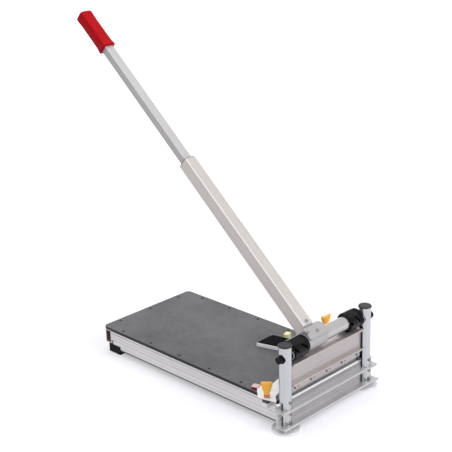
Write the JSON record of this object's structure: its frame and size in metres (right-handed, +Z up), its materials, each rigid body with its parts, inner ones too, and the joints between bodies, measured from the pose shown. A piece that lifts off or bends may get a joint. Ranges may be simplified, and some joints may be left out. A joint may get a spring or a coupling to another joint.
{
  "type": "laminate cutter",
  "caption": "Bench cutter for laminate planks: a long telescoping lever turns eccentric drums that press a guillotine blade down between slotted posts, with a table and swinging fence.",
  "frame": {"origin": "centre of the underside of the left foot disc, on the floor", "axes": "X runs along the blade from the left post to the right post, Y runs back over the table, Z is up"},
  "size_m": [0.3313, 0.7384, 0.7933],
  "materials": {
    "beam": "extruded, satin",
    "bright_metal": "smooth, bright",
    "handle_metal": "satin",
    "table": "dark mottled coating",
    "blade_steel": "ground",
    "screw_steel": "plain",
    "black_steel": "blackened",
    "black_hub": "smooth",
    "dark_plastic": "fine grain",
    "black_plastic": "plain",
    "rubber": "moulded",
    "white_plastic": "smooth",
    "red_brown_plastic": "smooth",
    "yellow_plastic": "smooth",
    "orange_plastic": "moulded",
    "red_grip": "soft moulded"
  },
  "bodies": {
    "base": {"base_beam": "beam", "left_foot_disc": "bright_metal", "right_foot_disc": "bright_metal", "left_post": "bright_metal", "right_post": "bright_metal", "left_post_cap": "dark_plastic", "right_post_cap": "dark_plastic", "left_slot_liner": "black_plastic", "right_slot_liner": "black_plastic", "left_spring_seat": "screw_steel", "right_spring_seat": "screw_steel", "left_return_spring": "screw_steel", "right_return_spring": "screw_steel", "left_axle_bushing": "black_plastic", "right_axle_bushing": "black_plastic", "post_screws": "screw_steel", "left_rail": "beam", "right_rail": "beam", "rear_rail": "beam", "corner_brackets": "beam", "bracket_screws": "screw_steel", "table_board": "table", "table_screws": "black_steel", "rear_left_foot": "rubber", "rear_right_foot": "rubber"},
    "carriage": {"blade_beam": "beam", "blade": "blade_steel", "blade_screws": "black_steel"},
    "lever": {"left_cam": "black_hub", "right_cam": "black_hub", "thrust_washers": "screw_steel", "cam_tube": "handle_metal", "cam_spacer": "screw_steel", "clamp_block": "handle_metal", "clamp_screws": "screw_steel", "lower_handle": "handle_metal", "handle_bolt": "screw_steel", "handle_bushing": "dark_plastic"},
    "extension": {"upper_handle": "handle_metal", "guide_plug": "dark_plastic", "grip": "red_grip"},
    "lock": {"lock_screw": "black_plastic"},
    "fence_carrier": {"fence_jaw": "beam", "fence_stud": "red_brown_plastic"},
    "fence": {"fence_bar": "white_plastic", "fence_arm": "white_plastic", "ribbed_pad": "rubber", "yellow_slider": "yellow_plastic", "red_pointer": "red_brown_plastic"},
    "stop": {"stop_block": "white_plastic"},
    "left_knob": {"left_wing_knob": "orange_plastic"},
    "right_knob": {"right_wing_knob": "orange_plastic"}
  },
  "joints": [
    {"name": "lever_turn", "type": "hinge", "parent": "base", "child": "lever", "pos_m": [0.132, 0, 0.167], "axis": [1, 0, 0], "range_deg": [-50, 50]},
    {"name": "carriage_slide", "type": "slide", "parent": "base", "child": "carriage", "axis": [0, 0, 1], "range_m": [-0.0093, 0.0093], "deforming": ["left_return_spring", "right_return_spring"]},
    {"name": "extension_slide", "type": "slide", "parent": "lever", "child": "extension", "axis": [0, 0.7513, 0.66], "range_m": [-0.32, 0]},
    {"name": "lock_turn", "type": "hinge", "parent": "lever", "child": "lock", "pos_m": [0.092, 0.35854, 0.48464], "axis": [1, 0, 0], "continuous": true},
    {"name": "fence_slide", "type": "slide", "parent": "base", "child": "fence_carrier", "axis": [0, 1, 0], "range_m": [0, 0.25]},
    {"name": "fence_turn", "type": "hinge", "parent": "fence_carrier", "child": "fence", "pos_m": [-0.016, 0.038, 0.0666], "axis": [0, 0, 1], "range_deg": [-16.3, 28.7]},
    {"name": "stop_slide", "type": "slide", "parent": "fence", "child": "stop", "axis": [0.9598, 0.2807, 0], "range_m": [-0.2, 0]},
    {"name": "left_knob_turn", "type": "hinge", "parent": "fence_carrier", "child": "left_knob", "pos_m": [-0.016, 0.038, 0.088], "axis": [0, 0, 1], "continuous": true},
    {"name": "right_knob_turn", "type": "hinge", "parent": "stop", "child": "right_knob", "pos_m": [0.28154, 0.12501, 0.118], "axis": [0, 0, 1], "continuous": true}
  ],
  "couplings": [
    {"joint": "carriage_slide", "follows": "lever_turn", "m_per_rad": 0.0106}
  ]
}
